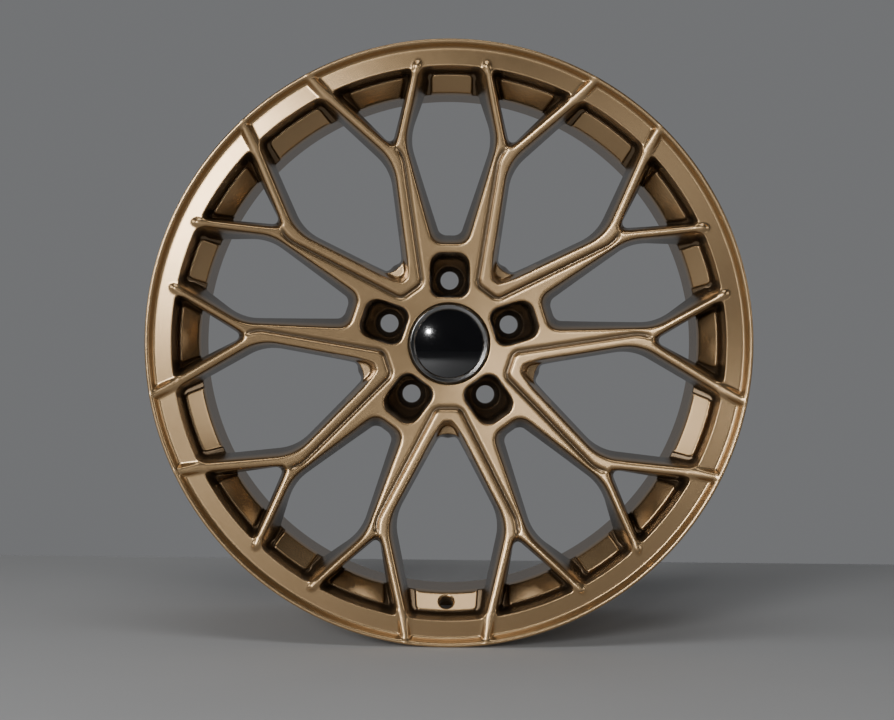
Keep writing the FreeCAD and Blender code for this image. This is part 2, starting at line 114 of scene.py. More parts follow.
# Hub details.
CAP_BORE_RADIUS = 30.0
CAP_SEAT_RADIUS = 35.3
CAP_SEAT_HEIGHT = 88.0
HUB_BORE_RADIUS = 33.3
HUB_BORE_END = 62.0
BOLT_CIRCLE_RADIUS = 56.0
BOLT_HOLE_RADIUS = 8.0
SEAT_TOP_RADIUS = 12.5
SEAT_END = 54.4
SEAT_RIM = 0.8           # flat rim round the bolt seat
POCKET_FLOOR = 62.0
FLOOR_SLOPE = 0.75       # the pocket's floor rises away from the seat
FLOOR_SCALE = 0.8        # turns a height above that slope into a distance

# Pads on the slope behind the ring, and the valve hole in one of them.
PAD_LOW = (220.0, 74.5)
PAD_HIGH = (235.4, 85.8)
PAD_THICKNESS = 9.0
PAD_END_RADIUS = 235.3
VALVE_RADIUS = 227.6
VALVE_HOLE_RADIUS = 5.65
VALVE_CHAMFER = 1.4
VALVE_WIDENING = 3.0
VALVE_REACH = 20.0
LEDGE_HEIGHT = 69.0

# Radii of fillets and rounded edges.
PAD_ROUND = 3.0          # pads' corners next to the wall
PAD_EDGE = 1.2
PAD_FILLET = 0.8
WINDOW_END_ROUND = 5.0
LEDGE_ROUND = 1.5
BACK_ROUND = 2.0
RIM_FILLET = 1.5
FRONT_ROUND = 0.8
POCKET_FLOOR_ROUND = 2.0
POCKET_EDGE_ROUND = 1.1
SEAT_ROUND = 0.4
CAP_SEAT_ROUND = 1.0

# Painted shade: where the paint is darkened to stand for the shade in recesses, as shares from 0 to 1
# that are stored on the mesh.
SHADE_DEPTHS = (3.0, 24.0)      # below the front: darkening starts, is full
GROOVE_ZONE = 6.0                # the groove is within this depth of the front
BARREL_SHADE = 0.5
PAD_SIDE_SHADE = 0.8
PAD_SHADE_SPAN = (-0.6, 0.8)
LEDGE_SHADE = 0.25
LEDGE_HALF_ANGLE = 0.24
LEDGE_RADII = (64.0, 104.0)
LEDGE_LOWEST = 66.0
SPOKE_END_RADIUS = 236.0
RIM_START_RADIUS = 218.0
TYRE_SIDE = 155.0                # radius less height is above this on the rim's tyre side

UPPER = 110.0            # heights at which the window outlines are drawn
LOWER = 60.0
FIELD_START = 20.0       # the field covers radii from here to FIELD_END
FIELD_END = 264.0
FIELD_WIDTH_RADIUS = 262.0
FIELD_MARGIN = 3.0
VALVE_FIELD_RADIUS = 200.0
VALVE_FIELD_MARGIN = 4.0
UNROLLED_RADIUS = 200.0  # angles become lengths at this radius while the mesh is cut
SLOPE_REACH = 0.75       # cells to each side, for the field's slope
FAR = 1e3


# ------------------------------------------------------------------ distance helpers

def smooth(low, high, value):
    """Rises from 0 at low to 1 at high, level at both ends."""
    share = np.clip((value - low) / (high - low), 0.0, 1.0)
    return share * share * (3.0 - 2.0 * share)


def softened(grid, passes=3):
    """Grid with each value averaged with its neighbours, which rounds off fine steps."""
    for _ in range(passes):
        wide = np.pad(grid, 1, mode="edge")
        across = (wide[:-2] + 2 * wide[1:-1] + wide[2:]) / 4
        grid = (across[:, :-2] + 2 * across[:, 1:-1] + across[:, 2:]) / 4
    return grid


def union_round(a, b, radius):
    """Distance to either of two shapes, with a fillet where they meet."""
    corner = np.hypot(np.maximum(radius - a, 0.0), np.maximum(radius - b, 0.0))
    return np.maximum(radius, np.minimum(a, b)) - corner


def meet_round(a, b, radius):
    """Distance to what two shapes share, with a rounded edge where their faces meet."""
    corner = np.hypot(np.maximum(radius + a, 0.0), np.maximum(radius + b, 0.0))
    return np.minimum(-radius, np.maximum(a, b)) + corner


def soft_max(a, b, width):
    """Larger of two values, blended where they are less than width apart."""
    blend = np.maximum(width - np.abs(a - b), 0.0) / width
    return np.maximum(a, b) + blend * blend * width * 0.25


def soft_min(a, b, width):
    return -soft_max(-a, -b, width)


def rounded_outline(corners):
    """Points along a closed outline of (x, y, radius) corners, round corners as arcs."""
    points = []
    count = len(corners)
    for i in range(count):
        here = Vector(corners[i][:2])
        to_last = (Vector(corners[i - 1][:2]) - here).normalized()
        to_next = (Vector(corners[(i + 1) % count][:2]) - here).normalized()
        radius = corners[i][2]
        half = to_last.angle(to_next) / 2
        if radius <= 0 or half > 1.5:
            points.append(here)
            continue
        centre = here + (to_last + to_next).normalized() * (radius / math.sin(half))
        start = here + to_last * (radius / math.tan(half))
        end = here + to_next * (radius / math.tan(half))
        steps = max(4, int(math.degrees(math.pi - 2 * half) / 4))
        turn = (start - centre).angle_signed(end - centre)
        for k in range(steps + 1):
            angle = -turn * k / steps
            arm = start - centre
            spot = Vector((arm.x * math.cos(angle) - arm.y * math.sin(angle),
                           arm.x * math.sin(angle) + arm.y * math.cos(angle)))
            points.append(centre + spot)
    return points


def outline_distance(x, y, points):
    """Signed distance to a closed outline, negative inside."""
    nearest = np.full(x.shape, 1e9, dtype=np.float32)
    inside = np.zeros(x.shape, dtype=bool)
    for i in range(len(points)):
        ax, ay = points[i]
        bx, by = points[(i + 1) % len(points)]
        ex, ey = bx - ax, by - ay
        length = ex * ex + ey * ey
        if length < 1e-9:
            continue
        share = np.clip(((x - ax) * ex + (y - ay) * ey) / length, 0.0, 1.0)
        nearest = np.minimum(nearest, (x - ax - share * ex) ** 2 + (y - ay - share * ey) ** 2)
        crosses = (ay > y) != (by > y)
        if abs(ey) > 1e-12:
            inside ^= crosses & (x < ax + (y - ay) * ex / ey)
    return np.where(inside, -1.0, 1.0) * np.sqrt(nearest)


# ------------------------------------------------------------------ outlines

class Corner:
    """A corner of a tapering window: place and rounding at a front and a back height."""

    def __init__(self, front, front_height, back, back_height, radius, back_radius=None):
        self.front = front
        self.back = back
        self.heights = (front_height, back_height)
        self.radii = (radius, radius if back_radius is None else back_radius)

    def at(self, height):
        """The corner's (x, y, radius) at a height."""
        share = (self.heights[0] - height) / (self.heights[0] - self.heights[1])
        front = self.front + self.radii[:1]
        back = self.back + self.radii[1:]
        return tuple(f + share * (b - f) for f, b in zip(front, back))


def outline_at(corners, height, mirror):
    """Outline of a window at one height; with mirror, the corners are its right half."""
    right = [corner.at(height) for corner in corners]
    if mirror:
        right += [(-x, y, radius) for x, y, radius in reversed(right)]
    return rounded_outline(right)


# Each window's sides run on past the ring, where they become the sides of the arms' ridges.
WINDOW_A = [
    Corner((15.0, 87.3), 95.0, (8.3, 97.3), 50.0, 12.0, 8.0),
    Corner((40.0, 174.6), 106.0, (36.7, 181.3), 62.0, 42.0),
    Corner((26.9, 237.4), 114.0, (20.2, 232.0), 75.0, 0.0),
    Corner((27.2, 251.0), 114.0, (24.0, 246.0), 75.0, 0.0),
    Corner((31.4, 280.0), 114.0, (28.0, 275.0), 75.0, 0.0),
]
WINDOW_B = [
    Corner((49.0, 167.2), 105.0, (52.6, 175.2), 60.0, 4.0),
    Corner((33.8, 236.2), 114.0, (37.9, 231.0), 75.0, 0.0),
    Corner((31.0, 251.0), 114.0, (35.0, 246.0), 75.0, 0.0),
    Corner((26.4, 280.0), 114.0, (36.0, 275.0), 75.0, 0.0),
    Corner((137.0, 247.2), 114.0, (132.0, 250.0), 75.0, 0.0),
    Corner((115.3, 226.0), 114.0, (110.0, 229.0), 75.0, 0.0),
    Corner((103.6, 214.6), 114.0, (95.3, 215.0), 75.0, 0.0),
]
WINDOW_C = [
    Corner((5.1, 67.2), 94.0, (9.4, 87.0), 50.0, 4.3, 7.0),
    Corner((52.2, 155.8), 104.0, (46.5, 156.1), 60.0, 42.0),
    Corner((32.9, 236.8), 114.0, (31.0, 232.0), 75.0, 0.0),
    Corner((31.1, 254.0), 114.0, (29.0, 250.0), 75.0, 0.0),
    Corner((29.6, 280.0), 114.0, (27.0, 275.0), 75.0, 0.0),
]
LEDGE = [
    Corner((5.1, 67.2), 94.0, (4.35, 72.6), LEDGE_HEIGHT, 4.0),
    Corner((22.5, 100.0), 94.0, (19.0, 100.0), LEDGE_HEIGHT, 0.0),
]
POCKET = [
    Corner((17.4, 40.1), 93.0, (16.0, 42.0), POCKET_FLOOR, 10.0),
    Corner((17.4, 79.4), 93.0, (16.0, 75.5), POCKET_FLOOR, 11.0),
]
# Middle line of the groove, as the edge of the raised strip (window C's axis up).
STRIP = [(10.9, 56.3, 8.0), (61.9, 155.3, 27.0), (60.5, 170.0, 0.0), (57.0, 200.0, 0.0),
         (49.0, 240.0, 0.0), (46.0, 280.0, 0.0)]
# Pads as seen from the street: A and B on window A's axis, C on window C's.
PAD_A = [(-17.8, 205.0, 0.0), (-17.8, 240.0, 0.0), (17.8, 240.0, 0.0), (17.8, 205.0, 0.0)]
PAD_C = [(-28.6, 205.0, 0.0), (-26.0, 240.0, 0.0), (26.0, 240.0, 0.0), (28.6, 205.0, 0.0)]
PAD_B = [(48.3, 205.0, 0.0), (40.0, 236.5, 0.0), (70.0, 236.5, 0.0), (93.6, 221.0, 0.0),
         (73.0, 196.0, 0.0)]

# Rim wall above the seam as (radius, height): tyre side out, then back down inside.
RIM_WALL = [(226.4, 50.0), (226.4, 66.0), (242.0, 82.0), (243.6, 84.5), (242.5, 86.5),
            (243.9, 104.0), (244.3, 106.4), (246.2, 107.95), (258.5, 107.95), (261.0, 109.8),
            (261.0, 135.0), (242.0, 135.0), (239.0, 114.0), (238.0, 83.4), (220.0, 68.0),
            (220.0, 50.0)]

# The rest of the barrel, from the seam round its rear flange and back: radius, height, rounding.
BARREL = [(226.4, SEAM_HEIGHT, 0.0), (226.4, 20.0, 12.0), (240.0, -16.0, 12.0), (241.0, -81.0, 3.0),
          (243.6, -84.5, 1.0), (242.5, -87.0, 1.5), (244.1, -107.95, 5.0), (258.5, -107.95, 1.5),
          (261.0, -109.8, 1.5), (261.0, -120.0, 1.5), (257.5, -120.0, 1.2), (255.5, -114.5, 1.5),
          (240.5, -114.5, 4.0), (235.8, -98.0, 8.0), (234.6, -22.0, 12.0), (220.0, 14.0, 12.0),
          (220.0, SEAM_HEIGHT, 0.0)]


# ------------------------------------------------------------------ the field

def dish_height(radius):
    """Front of the hub and spokes: one arc through DISH_START, DISH_MID and DISH_END."""
    (x0, z0), (x1, z1), (x2, z2) = DISH_START, DISH_MID, DISH_END
    a = np.array([[x1 - x0, z1 - z0], [x2 - x0, z2 - z0]]) * 2
    b = np.array([x1 * x1 - x0 * x0 + z1 * z1 - z0 * z0, x2 * x2 - x0 * x0 + z2 * z2 - z0 * z0])
    cx, cz = np.linalg.solve(a, b)
    size = math.hypot(x0 - cx, z0 - cz)
    return cz - np.sqrt(np.maximum(size ** 2 - (radius - cx) ** 2, 0.0))


def ring_height(radius):
    """Ring face, the step up to the lip, and the crown of the lip."""
    face = RING_EDGE[1] - (radius - RING_EDGE[0]) * RING_SLOPE
    rise = (LIP_HEIGHT - LIP_STEP[1]) / (LIP_INNER_RADIUS - LIP_STEP[0])
    wall = LIP_STEP[1] + (radius - LIP_STEP[0]) * rise
    crown = LIP_HEIGHT - LIP_CROWN_CURVE * (radius - LIP_CROWN_RADIUS) ** 2
    ring = soft_max(face, soft_min(wall, crown, LIP_BLEND), LIP_BLEND)
    return ring - 3.0 * np.maximum(RING_INNER_RADIUS - radius, 0.0)


def crest_size(radius):
    """Size of the rounding along the spokes' top edges."""
    gain = CREST_GAIN * smooth(*CREST_GAIN_SPAN, radius)
    return CREST + gain - CREST_LOSS * smooth(*CREST_LOSS_SPAN, radius)


class Forging:
    """Signed distance field of one half repeat, sampled on a grid of square cells."""

    def __init__(self, lowest, highest, valve=False):
        """Covers the cells between two corners; valve adds the valve hole."""
        self.valve = valve
        self.low = np.floor(np.array(lowest) / CELL) * CELL
        counts = np.ceil((np.array(highest) - self.low) / CELL).astype(int) + 1
        axes = [self.low[i] + CELL * np.arange(counts[i]) for i in range(3)]
        self.heights = axes[2]
        x, y = np.meshgrid(axes[0], axes[1], indexing="ij")
        self.make_maps(x, y)
        slices = [self.slice_at(height) for height in self.heights]
        self.values = np.stack([both[0] for both in slices], axis=2)
        self.rim_side = np.stack([both[1] for both in slices], axis=2)

    def make_maps(self, x, y):
        sine, cosine = math.sin(HALF_TURN), math.cos(HALF_TURN)
        beyond = x * cosine - y * sine
        self.wanted = (x > -2 * CELL) & (beyond < 2 * CELL)
        # Fold points past either mirror plane back into the half repeat.
        across = np.maximum(beyond, 0.0)
        fx = np.abs(x - 2 * across * cosine)
        fy = y + 2 * across * sine
        side = np.abs(fy * sine - fx * cosine)
        along = fx * sine + fy * cosine
        self.radius = np.hypot(fx, fy)
        self.place = (fx, fy)
        self.from_c = (side, along)
        self.window_maps = [
            self.drafted(fx, fy, WINDOW_A, True),
            self.drafted(fx, fy, WINDOW_B, False),
            self.drafted(side, along, WINDOW_C, True),
        ]
        self.ledge_map = self.drafted(side, along, LEDGE, True)
        self.pocket_map = self.drafted(fx, fy, POCKET, True)
        self.pads = np.minimum(outline_distance(fx, fy, rounded_outline(PAD_A)),
                               outline_distance(side, along, rounded_outline(PAD_C)))
        self.pads = np.minimum(self.pads, outline_distance(fx, fy, rounded_outline(PAD_B)))
        self.pads = meet_round(self.pads, self.radius - PAD_END_RADIUS, PAD_ROUND)
        self.top = self.top_map()
        slope_x, slope_y = np.gradient(self.top, CELL)
        self.top_scale = 1.0 / np.sqrt(1.0 + slope_x ** 2 + slope_y ** 2)
        self.rim_radii = np.arange(190.0, 266.0, 0.25)

    def drafted(self, x, y, corners, mirror):
        """Distances to a window's outline at the upper and the lower height."""
        upper = outline_distance(x, y, outline_at(corners, UPPER, mirror))
        lower = outline_distance(x, y, outline_at(corners, LOWER, mirror))
        return upper, lower

    @staticmethod
    def at_height(pair, height):
        """A drafted window's distances at any height, from its upper and lower ones."""
        share = (UPPER - height) / (UPPER - LOWER)
        return pair[0] + share * (pair[1] - pair[0])

    def top_map(self):
        """Height of the front surface over every point."""
        radius = self.radius
        dish = dish_height(radius)
        edge = np.minimum.reduce([self.at_height(pair, dish) for pair in self.window_maps])
        side, along = self.from_c
        outer = [(-bx, by, r) for bx, by, r in reversed(STRIP)]
        strip = outline_distance(side, along, rounded_outline(STRIP + outer))
        lowered = STEP_DOWN * smooth(-STEP_HALF, STEP_HALF, strip) * (1 - smooth(*STEP_FADE, radius))
        half = np.abs(strip)
        cut = 0.5 + 0.5 * np.cos(np.pi * np.minimum(half / GROOVE_HALF, 1.0))
        cut = cut * (1 - smooth(*GROOVE_FADE, radius))
        self.groove = cut
        crest = crest_size(radius)
        lean = np.clip((crest - edge) / crest, 0.0, None)
        round_part = crest * (1.0 - np.sqrt(1.0 - np.minimum(lean, CREST_STEEPEST) ** 2))
        straight_part = CREST_WALL_SLOPE * crest * np.maximum(lean - CREST_STEEPEST, 0.0)
        short_arm = np.arctan2(self.place[0], self.place[1]) < HALF_TURN / 2
        dish = dish - np.where(short_arm, TIP_DROP * smooth(*TIP_SPAN, radius), 0.0)
        spokes = dish - lowered - GROOVE_DEPTH * cut - round_part - straight_part
        return softened(soft_max(spokes, ring_height(radius), FRONT_BLEND))

    def slice_at(self, height):
        """One slice of the field, negative in metal, and of the map of rim against spokes."""
        radius = self.radius
        wall_share = (height - WALL_LOW[1]) / (RING_EDGE[1] - WALL_LOW[1])
        wall = WALL_LOW[0] + wall_share * (RING_EDGE[0] - WALL_LOW[0])
        window = np.full(radius.shape, FAR)
        for pair in self.window_maps:
            opening = meet_round(self.at_height(pair, height), radius - wall, WINDOW_END_ROUND)
            window = np.minimum(window, opening)
        ledge = self.at_height(self.ledge_map, height)
        ledge = meet_round(ledge, LEDGE_HEIGHT - height, LEDGE_ROUND)
        window = np.minimum(window, ledge)
        back = np.interp(radius, BACK_RADII, BACK_HEIGHTS) - height
        web = meet_round(-window, back, BACK_ROUND)
        web = np.maximum(web, radius - WEB_END_RADIUS)
        low_r, low_z = PAD_LOW
        run, rise = PAD_HIGH[0] - low_r, PAD_HIGH[1] - low_z
        length = math.hypot(run, rise)
        above = ((height - low_z) * run - (radius - low_r) * rise) / length
        slab = np.maximum(np.maximum(above, -above - PAD_THICKNESS), low_r - radius)
        pad = meet_round(self.pads, slab, PAD_EDGE)
        rim = np.interp(radius, self.rim_radii, self.rim_line(height))
        rim = union_round(rim, pad, PAD_FILLET)
        body = union_round(web, rim, RIM_FILLET)
        body = meet_round(body, (height - self.top) * self.top_scale, FRONT_ROUND)
        if self.valve:
            body = np.maximum(body, -self.valve_hole(height))
        body = self.hub_cuts(body, height)
        return body.astype(np.float32), (rim - web).astype(np.float32)

    def valve_hole(self, height):
        """Distance to the valve hole, square to the pads' slope on window C's axis."""
        side, along = self.from_c
        run, rise = PAD_HIGH[0] - PAD_LOW[0], PAD_HIGH[1] - PAD_LOW[1]
        length = math.hypot(run, rise)
        out = along - VALVE_RADIUS
        up = height - (PAD_LOW[1] + (VALVE_RADIUS - PAD_LOW[0]) * rise / run)
        down_slope = (out * run + up * rise) / length
        above = (up * run - out * rise) / length
        opening = VALVE_HOLE_RADIUS + np.clip(above + VALVE_CHAMFER, 0.0, VALVE_WIDENING)
        return np.maximum(np.hypot(side, down_slope) - opening, np.abs(above) - VALVE_REACH)

    def rim_line(self, height):
        """Distances to the rim wall along one height."""
        flat = np.full(self.rim_radii.shape, height)
        return outline_distance(self.rim_radii, flat, RIM_WALL)

    def hub_cuts(self, body, height):
        """The body with bolt pockets, bolt seats, the cap's seat and the bore taken out."""
        radius = self.radius
        fx, fy = self.place
        from_bolt = np.hypot(fx, fy - BOLT_CIRCLE_RADIUS)
        beyond_rim = np.maximum(from_bolt - SEAT_TOP_RADIUS - SEAT_RIM, 0.0)
        floor = (POCKET_FLOOR + FLOOR_SLOPE * beyond_rim - height) * FLOOR_SCALE
        pocket = meet_round(self.at_height(self.pocket_map, height), floor, POCKET_FLOOR_ROUND)
        body = meet_round(body, -pocket, POCKET_EDGE_ROUND)
        widening = (SEAT_TOP_RADIUS - BOLT_HOLE_RADIUS) / (POCKET_FLOOR - SEAT_END)
        cone = BOLT_HOLE_RADIUS + (height - SEAT_END) * widening
        seat = np.maximum(from_bolt - max(cone, BOLT_HOLE_RADIUS), height - POCKET_FLOOR - 3.0)
        body = meet_round(body, -seat, SEAT_ROUND)
        cap_seat = np.maximum(radius - CAP_SEAT_RADIUS, CAP_SEAT_HEIGHT - height)
        body = meet_round(body, -cap_seat, CAP_SEAT_ROUND)
        bore = HUB_BORE_RADIUS if height < HUB_BORE_END else CAP_BORE_RADIUS
        return np.maximum(body, bore - radius)

    def sample(self, points, values=None):
        """Field value at points, between the grid's own values."""
        values = self.values if values is None else values
        spot = (points - self.low) / CELL
        limit = np.array(self.values.shape) - 2
        base = np.clip(np.floor(spot).astype(int), 0, limit)
        part = np.clip(spot - base, 0.0, 1.0)
        total = np.zeros(len(points))
        for corner in range(8):
            step = np.array([corner & 1, corner >> 1 & 1, corner >> 2 & 1])
            weight = np.prod(np.where(step, part, 1.0 - part), axis=1)
            spots = base + step
            total += weight * values[spots[:, 0], spots[:, 1], spots[:, 2]]
        return total

    def over(self, flat, points):
        """Value of a flat map under points."""
        spot = (points[:, :2] - self.low[:2]) / CELL
        base = np.clip(np.floor(spot).astype(int), 0, np.array(flat.shape) - 2)
        (i, j), (u, v) = base.T, np.clip(spot - base, 0.0, 1.0).T
        low = flat[i, j] * (1 - u) + flat[i + 1, j] * u
        high = flat[i, j + 1] * (1 - u) + flat[i + 1, j + 1] * u
        return low * (1 - v) + high * v

    def painted_shade(self, points):
        """Painted shade share: 0 on open faces to 1 deep in a groove, pocket or window, where the paint
        is darkened to stand for shade.
        """
        radius, height = np.hypot(points[:, 0], points[:, 1]), points[:, 2]
        front = np.where(radius < SPOKE_END_RADIUS, dish_height(radius), RING_EDGE[1])
        depth = smooth(*SHADE_DEPTHS, front - height)
        groove = self.over(self.groove, points) * (height > front - GROOVE_ZONE)
        on_wall = (radius > RIM_START_RADIUS) & (height < SPLIT_HEIGHT)
        beside_pad = smooth(*PAD_SHADE_SPAN, self.over(self.pads, points))
        depth = np.where(on_wall, PAD_SIDE_SHADE * beside_pad, depth)
        from_foot = np.abs(np.arctan2(points[:, 0], points[:, 1]) - HALF_TURN)
        ledge = (from_foot < LEDGE_HALF_ANGLE) & (height > LEDGE_LOWEST)
        ledge &= (radius > LEDGE_RADII[0]) & (radius < LEDGE_RADII[1])
        depth = np.where(ledge, LEDGE_SHADE * depth, depth)
        on_tyre_side = (radius - height > TYRE_SIDE) & (height < SPLIT_HEIGHT)
        depth = np.where(on_tyre_side, BARREL_SHADE, depth)
        return np.maximum(depth, groove)

    def slopes(self, points):
        """Direction in which the field grows: the outward normal."""
        reach = SLOPE_REACH * CELL
        parts = []
        for axis in range(3):
            step = np.zeros(3)
            step[axis] = reach
            parts.append(self.sample(points + step) - self.sample(points - step))
        return np.stack(parts, axis=1) / (2 * reach)

    def mesh(self):
        """Vertices and quads of the zero surface, one vertex in each crossed cell."""
        values = self.values
        inside = values < 0
        nx, ny, nz = (n - 1 for n in values.shape)
        corners = [inside[i:i + nx, j:j + ny, k:k + nz]
                   for i in (0, 1) for j in (0, 1) for k in (0, 1)]
        filled = sum(corner.astype(np.int8) for corner in corners)
        crossed = (filled > 0) & (filled < 8) & self.wanted[:nx, :ny, None]
        cells = np.argwhere(crossed)
        index = np.full(crossed.shape, -1, dtype=np.int32)
        index[crossed] = np.arange(len(cells))
        total = np.zeros((len(cells), 3))
        hits = np.zeros(len(cells))
        for axis in range(3):
            others = [a for a in range(3) if a != axis]
            for first in (0, 1):
                for second in (0, 1):
                    start = cells.copy()
                    start[:, others[0]] += first
                    start[:, others[1]] += second
                    end = start.copy()
                    end[:, axis] += 1
                    here = values[start[:, 0], start[:, 1], start[:, 2]]
                    there = values[end[:, 0], end[:, 1], end[:, 2]]
                    split = (here < 0) != (there < 0)
                    share = np.where(split, here / np.where(split, here - there, 1.0), 0.0)
                    spot = start.astype(float)
                    spot[:, axis] += share
                    total += np.where(split[:, None], spot, 0.0)
                    hits += split
        points = self.low + CELL * total / hits[:, None]
        # Three short steps along the field's slope bring the points onto the surface.
        for _ in range(3):
            slope = self.slopes(points)
            size = np.maximum((slope ** 2).sum(axis=1), 0.2)
            move = slope * (self.sample(points) / size)[:, None]
            points = points - np.clip(move, -0.5 * CELL, 0.5 * CELL)
        quads = []
        for axis in range(3):
            quads.append(self.quads_along(axis, inside, index))
        return points, np.concatenate(quads)

    @staticmethod
    def quads_along(axis, inside, index):
        """Quads round every crossed grid edge that runs along one axis."""
        one, two = (axis + 1) % 3, (axis + 2) % 3
        low = [slice(1, -1)] * 3
        low[axis] = slice(0, -1)
        high = [slice(1, -1)] * 3
        high[axis] = slice(1, None)
        start, end = inside[tuple(low)], inside[tuple(high)]
        found = np.argwhere(start != end)
        outward = start[start != end]
        base = found + 1
        base[:, axis] -= 1
        around = []
        for first, second in ((0, 0), (1, 0), (1, 1), (0, 1)):
            cell = base.copy()
            cell[:, one] -= first
            cell[:, two] -= second
            around.append(index[cell[:, 0], cell[:, 1], cell[:, 2]])
        quads = np.stack(around, axis=1)
        quads[~outward] = quads[~outward][:, ::-1]
        return quads[(quads >= 0).all(axis=1)]


# ------------------------------------------------------------------ mesh objects

def to_row(vectors):
    """Wheel axes to the row's: X stays, Y is up, Z points to -Y."""
    return np.stack([vectors[:, 0], -vectors[:, 2], vectors[:, 1]], axis=1)


class Patch:
    """Part of a surface: points with normal and painted shade share, polygons as one list of point
    numbers.
    """

    def __init__(self, points, normals, painted_shade, loops, counts):
        self.points = points
        self.normals = normals
        self.painted_shade = painted_shade
        self.loops = loops
        self.counts = counts

    def part(self, wanted):
        """The polygons where wanted is true, with only the points they use."""
        loops = self.loops[np.repeat(wanted, self.counts)]
        used, loops = np.unique(loops, return_inverse=True)
        return Patch(self.points[used], self.normals[used], self.painted_shade[used], loops.ravel(),
                     self.counts[wanted])

    def laid(self, number):
        """Copy number 0 to 9 round the wheel: odd ones are mirrored."""
        angle = PAIR_TURN * ((number + 1) // 2)
        sine, cosine = math.sin(angle), math.cos(angle)
        turn = np.array([[cosine, -sine, 0.0], [sine, cosine, 0.0], [0.0, 0.0, 1.0]])
        if number % 2 == 0:
            return Patch(self.points @ turn, self.normals @ turn, self.painted_shade, self.loops,
                         self.counts)
        mirror = np.array([-1.0, 1.0, 1.0])
        return Patch((self.points * mirror) @ turn, (self.normals * mirror) @ turn, self.painted_shade,
                     self.loops[::-1], self.counts[::-1])


def joined(patches):
    """Several patches as one."""
    offsets = np.cumsum([0] + [len(patch.points) for patch in patches])
    return Patch(np.concatenate([patch.points for patch in patches]),
                 np.concatenate([patch.normals for patch in patches]),
                 np.concatenate([patch.painted_shade for patch in patches]),
                 np.concatenate([patch.loops + offset for patch, offset in zip(patches, offsets)]),
                 np.concatenate([patch.counts for patch in patches]))


def add_piece(name, patch, material, body, nodes):
    """Blender object from a patch, standing for the given CAD nodes."""
    mesh = bpy.data.meshes.new(name)
    mesh.vertices.add(len(patch.points))
    mesh.vertices.foreach_set("co", (to_row(patch.points) * MM).ravel())
    mesh.loops.add(len(patch.loops))
    mesh.loops.foreach_set("vertex_index", patch.loops.astype(np.int32))
    mesh.polygons.add(len(patch.counts))
    starts = np.cumsum(patch.counts) - patch.counts
    mesh.polygons.foreach_set("loop_start", starts.astype(np.int32))
    mesh.update(calc_edges=True)
    mesh.validate()
    mesh.shade_smooth()
    mesh.normals_split_custom_set_from_vertices(to_row(patch.normals))
    # The painted shade share goes on the mesh as a point attribute, read by the paint.
    painted_shade = mesh.attributes.new("painted_shade", "FLOAT", "POINT")
    painted_shade.data.foreach_set("value", patch.painted_shade.astype(np.float32))
    mesh.materials.append(material)
    piece = bpy.data.objects.new(name, mesh)
    bpy.context.scene.collection.objects.link(piece)
    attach(piece, body)
    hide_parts(*nodes)


def to_polar(point):
    """Point with its angle as a length, its radius, and its height."""
    angle = math.atan2(point.x, point.y)
    return Vector((UNROLLED_RADIUS * angle, math.hypot(point.x, point.y), point.z))


def from_polar(point):
    angle = point.x / UNROLLED_RADIUS
    return Vector((point.y * math.sin(angle), point.y * math.cos(angle), point.z))


def cut_shape(shape, place, normal, clear, wanted=None):
    """Cuts the wanted faces, or all, along a plane; clear drops what lies beyond it."""
    faces = [f for f in shape.faces if wanted is None or wanted(f)]
    edges = {e for f in faces for e in f.edges}
    verts = {v for f in faces for v in f.verts}
    bmesh.ops.bisect_plane(shape, geom=faces + list(edges) + list(verts), dist=1e-4,
                           plane_co=place, plane_no=normal, clear_outer=clear)


def whole_field():
    """Half a repeat from the cap's bore to the lip."""
    lowest = (-FIELD_MARGIN, FIELD_START, MOUNT_FACE - FIELD_MARGIN)
    width = FIELD_WIDTH_RADIUS * math.sin(HALF_TURN) + FIELD_MARGIN
    return Forging(lowest, (width, FIELD_END, LIP_HEIGHT + FIELD_MARGIN))


def valve_field():
    """Only the rim wall's part of the half repeat, with the valve hole in it."""
    nearest = VALVE_FIELD_RADIUS * math.cos(HALF_TURN)
    lowest = (-FIELD_MARGIN, nearest, SEAM_HEIGHT - VALVE_FIELD_MARGIN)
    width = FIELD_WIDTH_RADIUS * math.sin(HALF_TURN) + FIELD_MARGIN
    return Forging(lowest, (width, FIELD_END, SPLIT_HEIGHT + VALVE_FIELD_MARGIN), valve=True)


def trimmed_half_repeat(field):
    """The half repeat's surface, cut at its mirror planes, the hub's edge and the rim's joints."""
    points, quads = field.mesh()
    mesh = bpy.data.meshes.new("half_repeat")
    mesh.from_pydata(points.tolist(), [], quads.tolist())
    shape = bmesh.new()
    shape.from_mesh(mesh)
    bpy.data.meshes.remove(mesh)
    for vert in shape.verts:
        vert.co = to_polar(vert.co)
    cut_shape(shape, (0, 0, 0), (-1, 0, 0), True)
    cut_shape(shape, (UNROLLED_RADIUS * HALF_TURN, 0, 0), (1, 0, 0), True)
    cut_shape(shape, (0, HUB_EDGE_RADIUS, 0), (0, 1, 0), False)
    cut_shape(shape, (0, 0, SPLIT_HEIGHT), (0, 0, 1), False, on_rim)
    cut_shape(shape, (0, 0, SEAM_HEIGHT), (0, 0, -1), True, on_rim)
    for vert in shape.verts:
        vert.co = from_polar(vert.co)
    shape.verts.index_update()
    points = np.array([v.co[:] for v in shape.verts])
    loops = np.array([v.index for f in shape.faces for v in f.verts])
    counts = np.array([len(f.verts) for f in shape.faces])
    centres = np.array([f.calc_center_median()[:] for f in shape.faces])
    shape.free()
    patch = Patch(points, mirrored_normals(field, points), field.painted_shade(points), loops, counts)
    radius = np.hypot(centres[:, 0], centres[:, 1])
    rim = field.sample(centres, field.rim_side) < 0
    hub = radius < HUB_EDGE_RADIUS
    high = centres[:, 2] > SPLIT_HEIGHT
    return {"hub": patch.part(hub), "spoke": patch.part(~hub & ~rim),
            "ring": patch.part(~hub & rim & high), "wall": patch.part(~hub & rim & ~high)}


def on_rim(face):
    return face.calc_center_median().y > RIM_START_RADIUS


